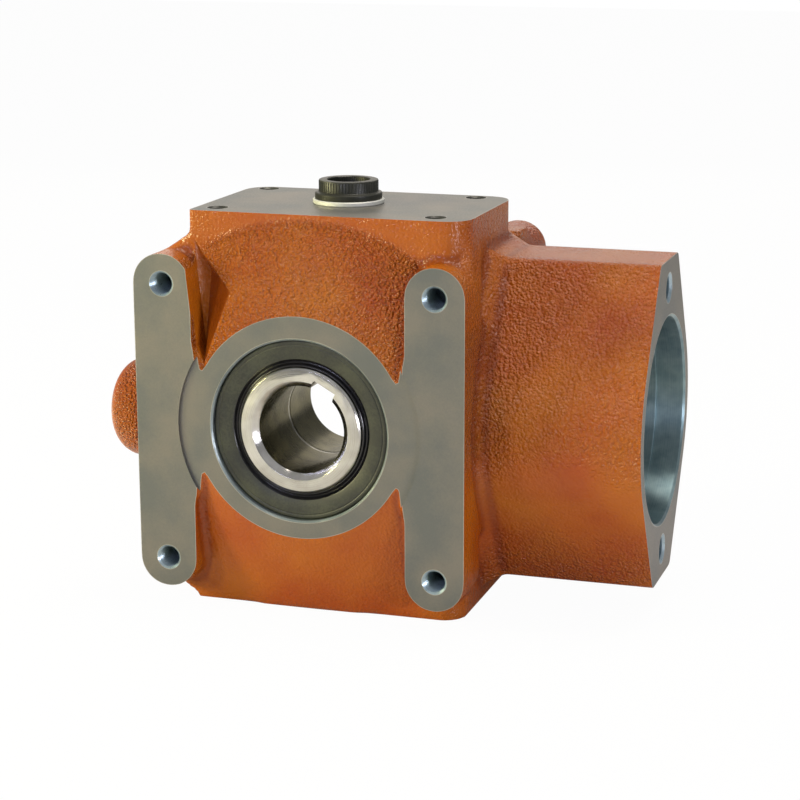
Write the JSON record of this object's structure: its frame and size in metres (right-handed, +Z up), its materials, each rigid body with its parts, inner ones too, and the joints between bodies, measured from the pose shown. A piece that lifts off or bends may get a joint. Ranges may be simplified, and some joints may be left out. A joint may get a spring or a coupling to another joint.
{
  "type": "right-angle bevel gearbox",
  "caption": "Right-angle bevel gearbox in an orange cast housing, with a hollow keyed output shaft, front and rear mounting pads and a two-bolt hydraulic motor flange.",
  "frame": {"origin": "where the output shaft's axis crosses the input shaft's axis, inside the gear cavity", "axes": "+Y along the output axis away from the viewer's side, +X along the input axis out of the motor flange, +Z up towards the filler plug"},
  "size_m": [0.2168, 0.124, 0.1679],
  "materials": {
    "painted_casting": "semi-gloss orange paint on rough cast iron, bare machined faces",
    "machined_steel": "turned and ground steel",
    "gear_steel": "case hardened steel, cut teeth",
    "bearing_steel": "ground and polished bearing steel",
    "cage_steel": "pressed steel sheet",
    "spring_steel": "phosphated spring steel",
    "bronze": "turned bronze",
    "cast_cover": "turned cast iron",
    "seal_rubber": "black nitrile rubber",
    "plug_black": "glossy black plug",
    "washer_aluminium": "plain sealing washer"
  },
  "bodies": {
    "casing": {"housing": "painted_casting", "front_bearing_outer_ring": "bearing_steel", "rear_bearing_outer_ring": "bearing_steel", "inner_pinion_bearing_outer_ring": "bearing_steel", "outer_pinion_bearing_outer_ring": "bearing_steel", "front_seal": "seal_rubber", "rear_seal": "seal_rubber", "input_seal": "seal_rubber", "rear_cover": "cast_cover", "rear_cover_seal": "seal_rubber", "rear_cover_ring": "spring_steel", "neck_ring": "spring_steel", "filler_plug": "plug_black", "plug_washer": "washer_aluminium", "side_plug": "plug_black"},
    "output": {"output_shaft": "machined_steel", "crown_gear": "gear_steel", "crown_gear_key": "machined_steel", "crown_gear_spacer": "machined_steel", "thrust_washer": "bronze", "front_bearing_inner_ring": "bearing_steel", "rear_bearing_inner_ring": "bearing_steel", "front_shaft_ring": "spring_steel", "rear_shaft_ring": "spring_steel"},
    "pinion": {"pinion_shaft": "gear_steel", "pinion_spacer": "machined_steel", "pinion_shaft_ring": "spring_steel", "inner_pinion_bearing_inner_ring": "bearing_steel", "outer_pinion_bearing_inner_ring": "bearing_steel"},
    "front_bearing_cage_set": {"front_bearing_balls": "bearing_steel", "front_bearing_cage": "cage_steel"},
    "rear_bearing_cage_set": {"rear_bearing_balls": "bearing_steel", "rear_bearing_cage": "cage_steel"},
    "inner_pinion_bearing_cage_set": {"inner_pinion_bearing_balls": "bearing_steel", "inner_pinion_bearing_cage": "cage_steel"},
    "outer_pinion_bearing_cage_set": {"outer_pinion_bearing_balls": "bearing_steel", "outer_pinion_bearing_cage": "cage_steel"}
  },
  "joints": [
    {"name": "output_spin", "type": "hinge", "parent": "casing", "child": "output", "pos_m": [0, 0, 0], "axis": [0, 1, 0], "continuous": true},
    {"name": "input_spin", "type": "hinge", "parent": "casing", "child": "pinion", "pos_m": [0, 0, 0], "axis": [1, 0, 0], "continuous": true},
    {"name": "front_bearing_cage_spin", "type": "hinge", "parent": "casing", "child": "front_bearing_cage_set", "pos_m": [0, 0, 0], "axis": [0, 1, 0], "continuous": true},
    {"name": "rear_bearing_cage_spin", "type": "hinge", "parent": "casing", "child": "rear_bearing_cage_set", "pos_m": [0, 0, 0], "axis": [0, 1, 0], "continuous": true},
    {"name": "inner_pinion_bearing_cage_spin", "type": "hinge", "parent": "casing", "child": "inner_pinion_bearing_cage_set", "pos_m": [0, 0, 0], "axis": [1, 0, 0], "continuous": true},
    {"name": "outer_pinion_bearing_cage_spin", "type": "hinge", "parent": "casing", "child": "outer_pinion_bearing_cage_set", "pos_m": [0, 0, 0], "axis": [1, 0, 0], "continuous": true}
  ],
  "couplings": [
    {"joint": "input_spin", "follows": "output_spin", "ratio": 3},
    {"joint": "front_bearing_cage_spin", "follows": "output_spin", "ratio": 0.4308},
    {"joint": "rear_bearing_cage_spin", "follows": "output_spin", "ratio": 0.4621},
    {"joint": "inner_pinion_bearing_cage_spin", "follows": "output_spin", "ratio": 1.2667},
    {"joint": "outer_pinion_bearing_cage_spin", "follows": "output_spin", "ratio": 1.2}
  ]
}
